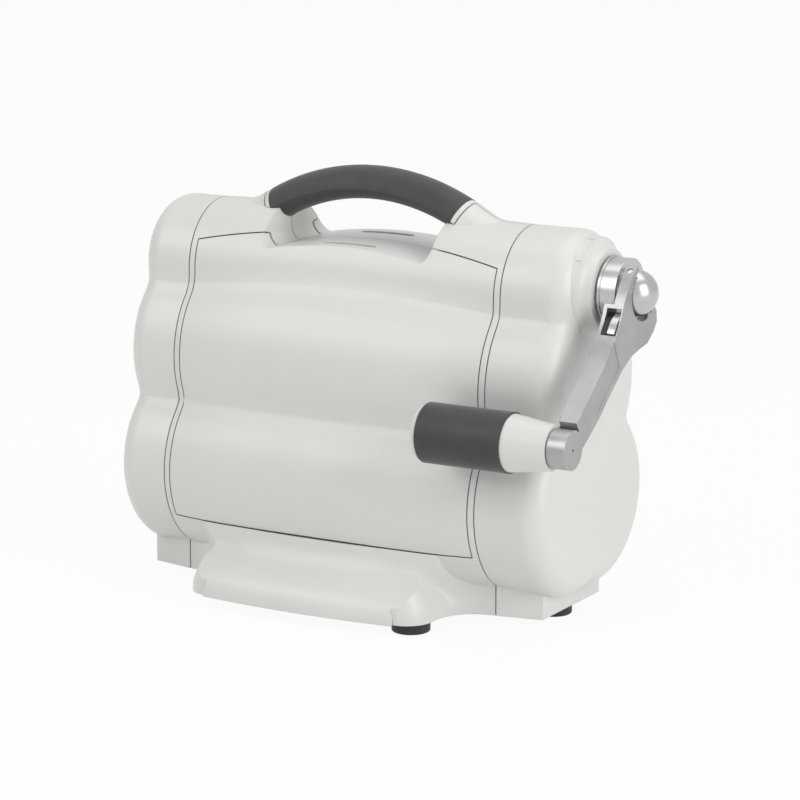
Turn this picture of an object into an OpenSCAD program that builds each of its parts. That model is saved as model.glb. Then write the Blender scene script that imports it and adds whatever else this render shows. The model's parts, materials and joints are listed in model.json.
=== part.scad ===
// Portable die cutting machine with two fold-down platform doors and a fold-away crank.
// Millimetres. +X is the crank side, -Y the front. Z = 0 is the table that the feet stand on.
// Modules are drawn about the middle of the machine; place() then centres the outline.

/* [Body] */
// Half width between the two end cap seams
seam_x = 117; // [114:0.5:120]
// Depth of the left end cap, from its seam outward
left_cap_depth = 40; // [38:1:46]
// Depth of the right end cap, which holds the gear train
right_cap_depth = 48; // [47:1:50]
// Rounding round the outer edge of both end caps
cap_fillet = 16; // [12:0.5:18]
// Wall of the moulded shells
wall = 2.6; // [2.2:0.1:3]
// Gap drawn between neighbouring mouldings
seam_gap = 0.7; // [0.5:0.1:1]
// Height of the mouldings' lower rim above the table
rim_z = 8; // [7:0.5:9]
// Half depth of the plinth that the lobes stand on
plinth_y = 45.6; // [44:0.1:47]

/* [Lobes] */
// Height of the top lobe's centre
top_lobe_z = 212.8; // [212:0.2:214]
// Radius of the top lobe
top_lobe_r = 42.5; // [42:0.1:43]
// How much the top lobe's radius grows towards the middle of the machine
top_crown = 2; // [1:0.5:3]
// Height of the middle lobe's centre
mid_lobe_z = 155.6; // [155:0.2:157]
// Radius of the middle lobe
mid_lobe_r = 62; // [61:0.1:63]
// Height of the bottom lobe's centres
low_lobe_z = 80.3; // [79:0.1:81]
// Distance of the bottom lobe's centres in front of and behind the middle
low_lobe_y = 15.1; // [14:0.1:16]
// Radius of the bottom lobe
low_lobe_r = 60.5; // [60:0.1:61]
// How much the middle and bottom lobes grow towards the middle of the machine
crown = 8; // [6:0.5:9]

/* [Flared foot] */
// Furthest reach of the flare in front of the middle
flare_y = 105; // [102:0.5:106]
// Reach of the flare at its top
flare_top_y = 79; // [78:0.5:80]
// Height at which the flare leaves the bottom lobe
flare_top_z = 50.8; // [50:0.2:52]
// Half width of the flare
flare_x = 89; // [86:0.5:92]
// Radius of the concave waist where the flare meets the plinth
waist_r = 28; // [26:0.5:30]
// Radius of the flare's corners in plan
flare_corner_r = 18; // [14:0.5:20]
// Radius, seen from above, of the flare's bowed front edge
flare_bow_r = 600; // [500:10:800]

/* [Doors] */
// Half width of the doors
door_x = 112; // [111:0.5:112.5]
// Distance of the hinge axes in front of and behind the middle
hinge_y = 69; // [68:0.5:70]
// Height of the hinge axes
hinge_z = 66; // [65:0.5:67]
// Distance from the hinge axis to the door's top edge, at its ends
door_reach = 168.9; // [168:0.1:170]
// How much that distance grows towards the middle
door_arch = 12.6; // [11:0.2:13]
// Distance from the hinge axis to the door's bottom edge, at its ends
door_heel = 14.6; // [14:0.1:15]
// How much that distance grows towards the middle
heel_crown = 1.8; // [1.4:0.1:2.2]
// Radius of the door hinge pins
hinge_pin_r = 1.8; // [1.5:0.1:2]
// Distance of the doors' flat platforms from the middle
panel_y = 28; // [28:0.5:29]
// Half width of the hand well under the handle
well_x = 63; // [62:0.5:64]
// Height of the hand well's floor at its middle
well_z = 236.5; // [235:0.5:237]
// Radius of the well's rounded lower corners
well_corner_r = 10; // [8:0.5:11]

/* [Handle] */
// Radius of the handle's centre line
handle_r = 146; // [140:1:150]
// Height of the top of the handle
handle_top_z = 285; // [284:0.5:286]
// Offset of the handle's arch towards the crank
handle_x = 1; // [0:0.5:3]
// Angle of the soft grip on the left of the arch's top
grip_left_deg = 29.5; // [28:0.5:31]
// Angle of the soft grip on the right of the arch's top
grip_right_deg = 27; // [26:0.5:28]

/* [Rollers and gears] */
// Radius of the pressure rollers
roller_r = 21; // [20:0.5:21]
// Half length of the pressure rollers
roller_x = 88; // [84:1:89]
// Radius of the roller shafts
roller_shaft_r = 8; // [7:0.5:9]
// Inner face of the side frames
frame_x = 92; // [91:0.5:94]
// Thickness of the side frames
frame_t = 4; // [3:0.5:4]
// Module of all four gears
gear_module = 2; // [2:1:2]
// Teeth on the crank pinion
pinion_teeth = 15; // [15:1:15]
// Teeth on the idler
idler_teeth = 15; // [15:1:15]
// Teeth on the two roller gears
roller_teeth = 29; // [29:1:29]
// Width of the gears
gear_w = 10; // [8:1:10]

/* [Crank] */
// Radius of the crank shaft
crank_shaft_r = 7; // [6:0.5:8]
// Radius of the hub drum
hub_r = 21.7; // [21:0.1:22]
// Distance of the ball's centre from the middle
ball_x = 190.6; // [190:0.2:192]
// Radius of the ball that the crank arm hinges on
ball_r = 15; // [14:0.5:15]
// Outer face of the crank arm
arm_x = 197; // [196.5:0.5:197.5]
// Angle of the stored crank arm, forward of straight down
stored_deg = 49.5; // [49:0.5:50]
// Distance from the crank axis to the grip's axis
crank_len = 126; // [125:0.5:127]
// Radius of the soft grip sleeve
sleeve_r = 19.2; // [18.5:0.1:19.5]

/* [Hidden] */
$fn = 64;

white = [0.93, 0.92, 0.9];
inside_white = [0.86, 0.85, 0.83];
soft_grey = [0.3, 0.29, 0.29];
alloy = [0.66, 0.66, 0.66];
steel = [0.75, 0.75, 0.77];
black = [0.08, 0.07, 0.07];
bronze = [0.7, 0.5, 0.3];

left_end_x = seam_x + left_cap_depth;
right_end_x = seam_x + right_cap_depth;
half_gap = seam_gap / 2;
running = 0.05;
far = 400;

// Rollers sit level with the opened platforms; the gear train stacks up from them
low_roller_z = hinge_z + hinge_y - panel_y - roller_r;
roller_gear_r = gear_module * roller_teeth / 2;
idler_r = gear_module * idler_teeth / 2;
pinion_r = gear_module * pinion_teeth / 2;
high_roller_z = low_roller_z + 2 * roller_gear_r;
idler_z = high_roller_z + roller_gear_r + idler_r;
crank_z = idler_z + idler_r + pinion_r;
pressure_deg = 25;
inner_plate_x = seam_x + 1;
plate_t = 3;
gear_x = inner_plate_x + plate_t + 2;
outer_plate_x = gear_x + gear_w + 2;

bulkhead_x = door_x + seam_gap;
cap_boss_r = 26;
cap_boss_h = 8;
hub_x = right_end_x + cap_boss_h + 1.6;
arm_pivot_x = arm_x - 3.5;
boss_r = 12.5;
grip_out_x = 184.6;
cone_x = 155.2;
sleeve_x = 95.8;
grip_end_x = 90.5;
spindle_r = 5;

// Centre of the outline, which becomes the origin
box_x = (ball_x + ball_r - left_end_x) / 2;
box_y = (flare_y - crank_len * sin(stored_deg) - sleeve_r) / 2;
feet_xy = [[73, -78], [-73, -56], [132, 5], [-132, -5], [-73, 78], [73, 56]];
foot_r = 12.6;

module place() translate([-box_x, -box_y, 0]) children();
module rear() mirror([0, 1, 0]) children();
module along_x(x, y, z) translate([x, y, z]) rotate([0, 90, 0]) children();
module crank_frame() translate([0, 0, crank_z]) rotate([-stored_deg, 0, 0]) children();
module rod(x0, x1, y, z, r) along_x(x0, y, z) cylinder(x1 - x0, r, r);
module tube(x0, x1, y, z, r_out, r_in) {
    along_x(x0, y, z) linear_extrude(x1 - x0) difference() {
        circle(r_out);
        circle(r_in);
    }
}

// ---- lobed outline ---------------------------------------------------------

// Solid of revolution about an X axis whose radius swells from r at half width w to r + rise
module barrel(r, rise, w, inset = 0, half = seam_x) {
    bow = (w * w + rise * rise) / (2 * rise);
    rotate([0, 90, 0]) rotate_extrude($fn = 96) intersection() {
        translate([0, -half]) square([r + rise, 2 * half]);
        translate([r + rise - bow, 0]) circle(bow - inset, $fn = 720);
    }
}

module centre_lobes(inset = 0, half = seam_x) {
    translate([0, 0, top_lobe_z]) barrel(top_lobe_r, top_crown, seam_x, inset, half);
    translate([0, 0, mid_lobe_z]) barrel(mid_lobe_r, crown, seam_x, inset, half);
    for (side = [-1, 1]) translate([0, side * low_lobe_y, low_lobe_z])
        barrel(low_lobe_r, crown, seam_x, inset, half);
}

// Half section of a disc with a rounded outer edge
module rounded_edge_2d(r, depth, fillet) {
    square([r - fillet, depth]);
    square([r, depth - fillet]);
    translate([r - fillet, depth - fillet]) circle(fillet);
}

module cap_lobe(y, z, r, depth, inset) {
    along_x(0, y, z) rotate_extrude($fn = 96)
        rounded_edge_2d(r - inset, depth - inset, cap_fillet - inset);
}

// The three lobes of an end cap, from x = 0 outward
module cap_lobes(depth, inset = 0) {
    cap_lobe(0, top_lobe_z, top_lobe_r, depth, inset);
    cap_lobe(0, mid_lobe_z, mid_lobe_r, depth, inset);
    for (side = [-1, 1]) cap_lobe(side * low_lobe_y, low_lobe_z, low_lobe_r, depth, inset);
}

// Plinth under an end cap, a little narrower at its outer end
plinth_len = 31;
plinth_taper = 6;
module cap_plinth_2d(inset = 0) {
    y0 = plinth_y - inset;
    y1 = y0 - plinth_taper;
    x1 = plinth_len - inset;
    polygon([[0, -y0], [x1, -y1], [x1, y1], [0, y0]]);
}

// Plan of the centre plinth with its flare, front half
module flare_plan_2d(inset = 0) {
    waist_y = plinth_y + waist_r;
    difference() {
        translate([-seam_x, -flare_y]) square([2 * seam_x, flare_y + 1]);
        for (side = [-1, 1]) {
            translate([side * seam_x, -waist_y]) circle(waist_r + inset);
            translate([side * (flare_x + far / 2 - inset), -waist_y - far / 2])
                square(far, center = true);
            translate([side * (flare_x - flare_corner_r + far / 2), -flare_y - far / 2
                       + flare_corner_r + 7]) square(far, center = true);
        }
    }
    for (side = [-1, 1])
        translate([side * (flare_x - flare_corner_r), -flare_y + flare_corner_r + 7])
            circle(flare_corner_r - inset);
}

// S-shaped sweep of the flare: reach in front of the middle against height
module flare_profile_2d(inset = 0) {
    rise = flare_top_z - rim_z;
    step = (flare_y - flare_top_y) / 2;
    arc_r = (step * step + rise * rise / 4) / (2 * step);
    translate([-inset, rim_z - (inset > 0 ? 1 : 0)]) {
        translate([30, -1]) square([flare_top_y - 30 + step, rise / 2 + 1]);
        intersection() {
            translate([flare_top_y, -1]) square([2 * step, rise / 2 + 1]);
            translate([flare_y - arc_r, 0]) circle(arc_r, $fn = 96);
        }
        translate([30, -1]) square([flare_top_y - 30, rise + 1]);
        difference() {
            translate([flare_top_y, rise / 2]) square([step, rise / 2]);
            translate([flare_top_y + arc_r, rise]) circle(arc_r, $fn = 96);
        }
    }
}

module front_flare(inset = 0) {
    intersection() {
        translate([0, flare_bow_r - flare_y, 0]) rotate([0, 0, -105])
            rotate_extrude(angle = 30, $fn = 720)
                translate([flare_bow_r - flare_y, 0]) flare_profile_2d(inset);
        linear_extrude(flare_top_z) flare_plan_2d(inset);
    }
    // plinth behind the flare; it starts below the rim, where the housing is cut level
    translate([inset - seam_x, inset - plinth_y, rim_z - 2])
        cube([2 * (seam_x - inset), plinth_y - inset, 22 - inset / 2]);
}

// ---- doors -----------------------------------------------------------------

// Everything a door sweeps: a crowned drum round its hinge axis
module door_sweep(reach, extra = 0) {
    translate([0, -hinge_y, hinge_z]) barrel(reach + extra, door_arch, door_x, 0, door_x + extra);
}

// The rounded heel of the door below its hinge axis
module door_heel_drum(extra = 0, half = door_x) {
    translate([0, -hinge_y, hinge_z]) barrel(door_heel + extra, heel_crown, door_x, 0, half);
}

// Front view of the hand well
well_bow_r = 303;
module well_2d(half, corner) {
    low = well_z - half * half / (2 * well_bow_r);
    difference() {
        union() {
            translate([corner - half, low - 6]) square([2 * (half - corner), 60]);
            translate([-half, low + corner]) square([2 * half, 60]);
            for (side = [-1, 1]) translate([side * (half - corner), low + corner])
                circle(corner);
        }
        translate([0, well_z - well_bow_r]) circle(well_bow_r, $fn = 720);
    }
}

module well(half, corner, depth) {
    rotate([90, 0, 0]) linear_extrude(2 * depth, center = true) well_2d(half, corner);
}

tongue_x = 56;
tongue_t = 3;
tongue_len = 36.2;
module door_tongue() {
    rotate([90, 0, 0]) translate([0, 0, half_gap]) linear_extrude(tongue_len) intersection() {
        translate([-tongue_x, well_z - 20]) square([2 * tongue_x, 40]);
        difference() {
            translate([0, well_z - well_bow_r]) circle(well_bow_r, $fn = 720);
            translate([0, well_z - well_bow_r]) circle(well_bow_r - tongue_t, $fn = 720);
        }
    }
}

module finger_slot(x, y) {
    translate([x, y, well_z - 12]) linear_extrude(24) {
        square([34, 6.4], center = true);
        for (side = [-1, 1]) translate([side * 17, 0]) circle(3.2);
    }
}

// Region between the lobes' skin and the plane at y = -back that a door fills
module door_region(inset, back = panel_y) {
    difference() {
        intersection() {
            centre_lobes(inset, door_x - inset);
            door_sweep(door_reach, -inset);
            translate([-far / 2, -far - back, hinge_z - 20]) cube([far, far, far]);
        }
        translate([0, 0, -inset]) well(well_x + inset, well_corner_r + inset, far / 2);
    }
}

// The heel starts just below the hinge axis
heel_z = hinge_z - 1.5;
module above(z) translate([-far / 2, -far, z]) cube([far, far, far]);

module door_shell() {
    difference() {
        union() {
            difference() {
                intersection() {
                    door_region(0);
                    above(heel_z);
                }
                intersection() {
                    door_region(wall, panel_y + platform_t);
                    above(heel_z + wall);
                }
                // window in the back that the platform fills
                translate([-platform_x, -panel_y - platform_t - 0.5, platform_z0])
                    cube([2 * platform_x, platform_t + 1, platform_z1 - platform_z0]);
            }
            intersection() {
                door_region(0);
                door_heel_drum();
                translate([-far / 2, -far, 0]) cube([far, far, heel_z + 1]);
            }
            door_tongue();
        }
        finger_slot(-4, -25);
        rod(-far, far, -hinge_y, hinge_z, hinge_pin_r + running);
    }
}

platform_x = 107;
platform_z0 = 70;
platform_z1 = 222;
platform_t = 2.4;
rib_t = 1.8;
rib_depth = 9;
rib_pitch = 30;
module platform() {
    translate([-platform_x, -panel_y - platform_t, platform_z0])
        cube([2 * platform_x, platform_t, platform_z1 - platform_z0]);
    // stiffening ribs behind the platform, inside the door
    translate([0, -panel_y - rib_depth, 0]) {
        for (x = [-3 : 3]) translate([x * rib_pitch - rib_t / 2, 0, platform_z0 + 4])
            cube([rib_t, rib_depth - 1, platform_z1 - platform_z0 - 14]);
        for (i = [0 : 4]) translate([-96, 0, platform_z0 + 20 + i * rib_pitch - rib_t / 2])
            cube([192, rib_depth - 1, rib_t]);
    }
}

module hinge_pins() {
    for (side = [-1, 1]) translate([side * (door_x - 1.5), -hinge_y, hinge_z])
        rotate([0, 90, 0]) cylinder(9, hinge_pin_r, hinge_pin_r, center = true);
}

// ---- handle ----------------------------------------------------------------

handle_z = handle_top_z - 11 - handle_r;
// Cross-section with a crease along each side: +Y is away from the arch's centre
module handle_section_2d(grow = 0) {
    intersection() {
        translate([-5.2, 0]) circle(16.2 + grow);
        translate([9, 0]) circle(20 + grow);
    }
}

// Sweep about a Y axis at cx, cz, from a0 to a1 degrees clockwise of straight up
module arc_sweep(cx, cz, r, a0, a1) {
    translate([cx, 0, cz]) rotate([90, 0, 0]) rotate([0, 0, 90 - a1])
        rotate_extrude(angle = a1 - a0, $fn = 240) translate([r, 0]) children();
}

collar_deg = 1.3;
neck_gap_deg = 0.3;
neck_bow_r = 40;
neck_lap_deg = 1;
neck_swell = 0.15;
// Where the convex arch turns into the concave shoulder
neck_span = sqrt((handle_top_z - 255) * (2 * (255 - handle_z) + handle_top_z - 255 + 2 * neck_bow_r));
neck_deg = asin(neck_span / (handle_r + 11 + neck_bow_r));
module handle_necks() {
    arc_sweep(handle_x, handle_z, handle_r, grip_right_deg + collar_deg + neck_gap_deg, neck_deg)
        handle_section_2d();
    arc_sweep(handle_x, handle_z, handle_r, -neck_deg, -grip_left_deg - collar_deg - neck_gap_deg)
        handle_section_2d();
    // concave shoulders, a hair fuller than the arch that they lap over
    for (side = [-1, 1]) {
        lap = neck_deg + neck_lap_deg;
        turn = side > 0 ? [180, 180 + lap] : [180 - lap, 180];
        arc_sweep(handle_x + side * neck_span, 255 + neck_bow_r, neck_bow_r + 11, turn[0], turn[1])
            mirror([1, 0]) handle_section_2d(neck_swell);
    }
}

tenon_r = 7;
module handle_tenon(grow) {
    a0 = -grip_left_deg - 5;
    a1 = grip_right_deg + 5;
    arc_sweep(handle_x, handle_z, handle_r - 1, a0, a1) circle(tenon_r + grow);
}

// ---- housings --------------------------------------------------------------

pan_t = 3;
pan_y = plinth_y - 2 * wall;

// Half of the centre section, split at y = 0
module housing() {
    difference() {
        intersection() {
            union() {
                difference() {
                    union() {
                        centre_lobes(0, seam_x - half_gap);
                        front_flare();
                        handle_necks();
                    }
                    centre_lobes(wall, bulkhead_x);
                    front_flare(wall);
                }
                // walls round the hand well
                intersection() {
                    translate([0, 0, -wall]) well(well_x + wall, well_corner_r + wall, far / 2);
                    centre_lobes(0.4, bulkhead_x);
                }
                // rounded trough under the door's heel
                intersection() {
                    difference() {
                        door_heel_drum(seam_gap + wall, bulkhead_x);
                        door_heel_drum(seam_gap, bulkhead_x + 1);
                    }
                    union() {
                        centre_lobes(0.5, seam_x - half_gap);
                        front_flare(0.5);
                    }
                    translate([-far / 2, -far, 0]) cube([far, far, flare_top_z + 0.3]);
                }
            }
            translate([half_gap - seam_x, -far, rim_z])
                cube([2 * (seam_x - half_gap), far - half_gap, far]);
        }
        door_heel_drum(seam_gap, bulkhead_x);
        // opening that the door closes
        intersection() {
            door_sweep(door_reach, seam_gap);
            translate([-bulkhead_x, -far - panel_y + 2, flare_top_z + 0.3])
                cube([2 * bulkhead_x, far, far]);
        }
        translate([-bulkhead_x, -far, flare_top_z + 0.3])
            cube([2 * bulkhead_x, far - panel_y + 2, 228 - flare_top_z]);
        // room for the rollers' covers between the side walls
        translate([-bulkhead_x, -panel_y - 2, flare_top_z + 0.3])
            cube([2 * bulkhead_x, far, 226 - flare_top_z]);
        well(well_x, well_corner_r, far / 2);
        translate([-tongue_x - seam_gap, -panel_y - 8, well_z - 14])
            cube([2 * (tongue_x + seam_gap), far, 20]);
        // end walls stand on the base pan
        translate([-far / 2, -pan_y, rim_z - 1]) cube([far, far, pan_t + 1]);
        // holes for the roller shafts and the crank shaft, and the hinge pins
        rod(bulkhead_x - 1, seam_x, 0, low_roller_z, roller_shaft_r + 5);
        rod(bulkhead_x - 1, seam_x, 0, high_roller_z, roller_shaft_r + 5);
        rod(bulkhead_x - 1, seam_x, 0, crank_z, crank_shaft_r + 6);
        rod(-door_x - 3, door_x + 3, -hinge_y, hinge_z, hinge_pin_r);
        handle_tenon(0.15);
        // seat of the grip's ends in the shoulders
        arc_sweep(handle_x, handle_z, handle_r, -grip_left_deg - collar_deg, grip_right_deg + collar_deg)
            handle_section_2d(0.2);
    }
}

// Silhouette of an end cap seen from its side
module cap_side_2d(inset) {
    translate([-top_lobe_z, 0]) circle(top_lobe_r - inset, $fn = 96);
    translate([-mid_lobe_z, 0]) circle(mid_lobe_r - inset, $fn = 96);
    for (side = [-1, 1]) translate([-low_lobe_z, side * low_lobe_y])
        circle(low_lobe_r - inset, $fn = 96);
}

// Lip inside the seam that lands on the housing's end wall
lip_inset = 1.1;
lip_t = 0.9;
module cap_lip() {
    along_x(-half_gap, 0, 0) linear_extrude(seam_gap + 1) difference() {
        cap_side_2d(lip_inset);
        cap_side_2d(lip_inset + lip_t);
        translate([-30 - rim_z, -far / 2]) square([far, far]);
    }
}

// Shell of one end cap, from its seam at x = 0 outward
module end_cap(depth) {
    cap_lip();
    difference() {
        intersection() {
            union() {
                cap_lobes(depth);
                translate([0, 0, rim_z]) linear_extrude(30) cap_plinth_2d();
            }
            translate([half_gap, -far / 2, rim_z]) cube([far, far, far]);
        }
        cap_lobes(depth, wall);
        translate([0, 0, rim_z - 1]) linear_extrude(30) cap_plinth_2d(wall);
    }
}

// Concave collar that the crank turns in front of
module cap_boss_2d() {
    square([cap_boss_r, cap_boss_h]);
    difference() {
        square([cap_boss_r + cap_boss_h, cap_boss_h]);
        translate([cap_boss_r + cap_boss_h, cap_boss_h]) circle(cap_boss_h);
    }
}

module base_pan() place() color(inside_white) {
    clear = wall + 0.3;
    difference() {
        translate([0, 0, rim_z]) linear_extrude(pan_t) {
            for (m = [0, 1]) mirror([0, m]) intersection() {
                flare_plan_2d(clear);
                translate([0, flare_bow_r - flare_y]) circle(flare_bow_r - clear, $fn = 720);
                square([2 * (seam_x - clear), far], center = true);
            }
            for (turn = [0, 180]) rotate(turn) translate([seam_x, 0]) cap_plinth_2d(clear);
            square([2 * seam_x + 2, 2 * pan_y], center = true);
        }
        for (p = feet_xy) translate([p[0], p[1], 0]) cylinder(far, 2, 2);
    }
}

module front_housing() place() color(white) housing();
module rear_housing() place() color(white) rear() housing();

module left_end_cap() place() color(white)
    translate([-seam_x, 0, 0]) mirror([1, 0, 0]) end_cap(left_cap_depth);

module right_end_cap() place() color(white) difference() {
    union() {
        translate([seam_x, 0, 0]) end_cap(right_cap_depth);
        along_x(right_end_x - 0.1, 0, crank_z) rotate_extrude() cap_boss_2d();
    }
    rod(right_end_x - 10, far, 0, crank_z, crank_shaft_r + 3);
    rod(right_end_x - 10, right_end_x + cap_boss_h - wall, 0, crank_z, cap_boss_r - wall - 4);
}

module front_door() place() color(white) door_shell();
module rear_door() place() color(white) rear() door_shell();
module front_platform() place() color(inside_white) platform();
module rear_platform() place() color(inside_white) rear() platform();
module front_hinge_pins() place() color(steel) hinge_pins();
module rear_hinge_pins() place() color(steel) rear() hinge_pins();

module handle_core() place() color(white) {
    handle_tenon(0);
    arc_sweep(handle_x, handle_z, handle_r, grip_right_deg, grip_right_deg + collar_deg)
        handle_section_2d(-0.3);
    arc_sweep(handle_x, handle_z, handle_r, -grip_left_deg - collar_deg, -grip_left_deg)
        handle_section_2d(-0.3);
}

module handle_grip() place() color(soft_grey) difference() {
    arc_sweep(handle_x, handle_z, handle_r, -grip_left_deg, grip_right_deg) handle_section_2d();
    handle_tenon(0);
}

// ---- pressing mechanism ----------------------------------------------------

frame_z0 = rim_z + 3;
frame_top = 224;
bush_wall = 3;
shoulder_z = high_roller_z + 39;
tie_r = 3;
tie_yz = [[-17, low_roller_z - 23], [17, low_roller_z - 23],
          [-17, high_roller_z + 27], [17, high_roller_z + 27], [0, frame_top - 16]];
module side_frame_2d() {
    // z to the right, y upward: waisted between the bosses, with a flanged foot
    difference() {
        union() {
            translate([frame_z0, -25]) square([26, 50]);
            translate([frame_z0 + 20, -24]) square([shoulder_z - frame_z0 - 20, 48]);
            translate([high_roller_z, -16]) square([frame_top - high_roller_z - 16, 32]);
            translate([frame_top - 16, 0]) circle(16);
        }
        for (z = [low_roller_z, high_roller_z]) translate([z, 0])
            circle(roller_shaft_r + bush_wall);
        for (p = tie_yz) translate([p[1], p[0]]) circle(tie_r);
        translate([(high_roller_z + frame_top) / 2, 0]) circle(9);
    }
}

module side_frame() {
    // local X runs up the machine, local Z along +X
    translate([frame_x, 0, 0]) multmatrix([[0, 0, 1, 0], [0, 1, 0, 0], [1, 0, 0, 0], [0, 0, 0, 1]])
        linear_extrude(frame_t) side_frame_2d();
    difference() {
        translate([frame_x - 14, -25, frame_z0]) cube([14 + frame_t / 2, 50, 3]);
        for (y = [-1, 1]) translate([frame_x - 8, y * 16, 0]) cylinder(far, 2.1, 2.1);
    }
}

module left_side_frame() place() color(steel) mirror([1, 0, 0]) side_frame();
module right_side_frame() place() color(steel) side_frame();

module tie_bars() place() color(steel) for (p = tie_yz) {
    rod(-frame_x - frame_t, frame_x + frame_t, p[0], p[1], tie_r);
}

module roller(z, right) place() color(steel) {
    rod(-roller_x, roller_x, 0, z, roller_r);
    rod(-frame_x - frame_t - 3, right, 0, z, roller_shaft_r);
    tube(-frame_x - frame_t - 2.5, -frame_x - frame_t - 0.5, 0, z, roller_shaft_r + 3, roller_shaft_r - 1);
}
module upper_roller() roller(high_roller_z, gear_x + gear_w + 1);
module lower_roller() roller(low_roller_z, gear_x + gear_w + 1);

module roller_bushes() place() color(bronze) for (z = [low_roller_z, high_roller_z]) {
    for (x = [-frame_x - frame_t, frame_x])
        tube(x, x + frame_t, 0, z, roller_shaft_r + bush_wall, roller_shaft_r + running);
    tube(inner_plate_x, inner_plate_x + plate_t, 0, z, roller_shaft_r + bush_wall,
         roller_shaft_r + running);
}

// Flat-sided cover round one roller, open towards the feed gap
cover_y = 26;
module roller_cover(z0, z1, open_z0, open_z1) {
    difference() {
        translate([-frame_x, -cover_y, z0]) cube([2 * frame_x, 2 * cover_y, z1 - z0]);
        translate([-frame_x - 1, 2 - cover_y, open_z0])
            cube([2 * frame_x + 2, 2 * cover_y - 4, open_z1 - open_z0]);
    }
}
module lower_cover() place() color(inside_white)
    roller_cover(low_roller_z - 30, low_roller_z + roller_r - 2, low_roller_z - 28, far);
module upper_cover() place() color(inside_white)
    roller_cover(high_roller_z - roller_r + 2, frame_top - 34, 0, frame_top - 36);

// ---- gear train ------------------------------------------------------------

function inv_deg(a) = tan(a) * 180 / PI - a;
// Half angle of a tooth at radius r
function tooth_half(teeth, r) =
    let (pitch_r = gear_module * teeth / 2, base_r = pitch_r * cos(pressure_deg), backlash = 0.24)
    (PI * gear_module / 2 - backlash) / (2 * pitch_r) * 180 / PI
    + inv_deg(pressure_deg) - inv_deg(acos(min(1, base_r / r)));
function polar(r, a) = [r * cos(a), r * sin(a)];
function tooth_points(teeth, turn) =
    let (pitch_r = gear_module * teeth / 2, base_r = pitch_r * cos(pressure_deg),
         root_r = pitch_r - 1.25 * gear_module, tip_r = pitch_r + 0.94 * gear_module,
         start_r = max(base_r, root_r) + 0.01,
         radii = [for (k = [0 : 4]) start_r + (tip_r - start_r) * k / 4])
    concat([polar(root_r, turn - tooth_half(teeth, start_r))],
           [for (r = radii) polar(r, turn - tooth_half(teeth, r))],
           [for (k = [4 : -1 : 0]) polar(radii[k], turn + tooth_half(teeth, radii[k]))],
           [polar(root_r, turn + tooth_half(teeth, start_r))]);

// Spur gear about X with a tooth straight up; the tooth counts are odd, so a gap is straight down
module spur_gear(teeth, z, bore) {
    along_x(gear_x, 0, z) rotate([0, 0, 180])
        linear_extrude(gear_w) difference() {
            polygon([for (i = [0 : teeth - 1]) each tooth_points(teeth, i * 360 / teeth)]);
            circle(bore);
        }
}

module crank_pinion() place() color(steel) spur_gear(pinion_teeth, crank_z, crank_shaft_r);
module idler_gear() place() color(steel)
    spur_gear(idler_teeth, idler_z, idler_axle_r + running);
module roller_gear(z) place() color(steel) difference() {
    spur_gear(roller_teeth, z, roller_shaft_r);
    for (a = [0 : 60 : 300])
        rod(0, far, 17 * sin(a), z + 17 * cos(a), 5);
}
module upper_roller_gear() roller_gear(high_roller_z);
module lower_roller_gear() roller_gear(low_roller_z);

idler_axle_r = 5;
module idler_axle() place() color(steel) {
    rod(inner_plate_x, outer_plate_x + plate_t, 0, idler_z, idler_axle_r);
}

spacer_yz = [[-27, 226], [27, 226], [-38, 102], [38, 102], [-22, 32], [22, 32]];
spacer_r = 5;
spacer_bolt_r = 2;
module gear_plate(x, shaft_hole_r) {
    difference() {
        along_x(x, 0, 0) linear_extrude(plate_t) {
            translate([-crank_z, 0]) circle(34);
            translate([-crank_z, -34]) square([crank_z - 24, 68]);
            translate([-112, -46]) square([20, 92]);
        }
        rod(x - 1, x + plate_t + 1, 0, crank_z, crank_shaft_r + bush_wall);
        rod(x - 1, x + plate_t + 1, 0, idler_z, idler_axle_r);
        for (z = [low_roller_z, high_roller_z]) rod(x - 1, x + plate_t + 1, 0, z, shaft_hole_r);
        for (p = spacer_yz) rod(x - 1, x + plate_t + 1, p[0], p[1], spacer_bolt_r);
    }
}
module inner_gear_plate() place() color(steel)
    gear_plate(inner_plate_x, roller_shaft_r + bush_wall);
module outer_gear_plate() place() color(steel) gear_plate(outer_plate_x, roller_shaft_r + 2);

module gear_plate_spacers() place() color(steel) for (p = spacer_yz) {
    rod(seam_x - half_gap, inner_plate_x, p[0], p[1], spacer_r);
    rod(inner_plate_x - 0.5, outer_plate_x + plate_t + 0.5, p[0], p[1], spacer_bolt_r);
    rod(inner_plate_x + plate_t, outer_plate_x, p[0], p[1], spacer_r);
    rod(outer_plate_x + plate_t, outer_plate_x + plate_t + 2.5, p[0], p[1], spacer_r - 1);
}

module crank_bushes() place() color(bronze) for (x = [inner_plate_x, outer_plate_x])
    tube(x, x + plate_t, 0, crank_z, crank_shaft_r + bush_wall, crank_shaft_r + running);

module crank_shaft() place() color(steel)
    rod(inner_plate_x - 1, hub_x + 4, 0, crank_z, crank_shaft_r);

module crank_collar() place() color(steel)
    tube(outer_plate_x + plate_t + 0.4, outer_plate_x + plate_t + 6, 0, crank_z,
         crank_shaft_r + 5, crank_shaft_r);

module crank_seal() place() color(black)
    tube(right_end_x + cap_boss_h - wall, right_end_x + cap_boss_h, 0, crank_z,
         crank_shaft_r + 3, crank_shaft_r + 0.4);

// ---- crank -----------------------------------------------------------------

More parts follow.
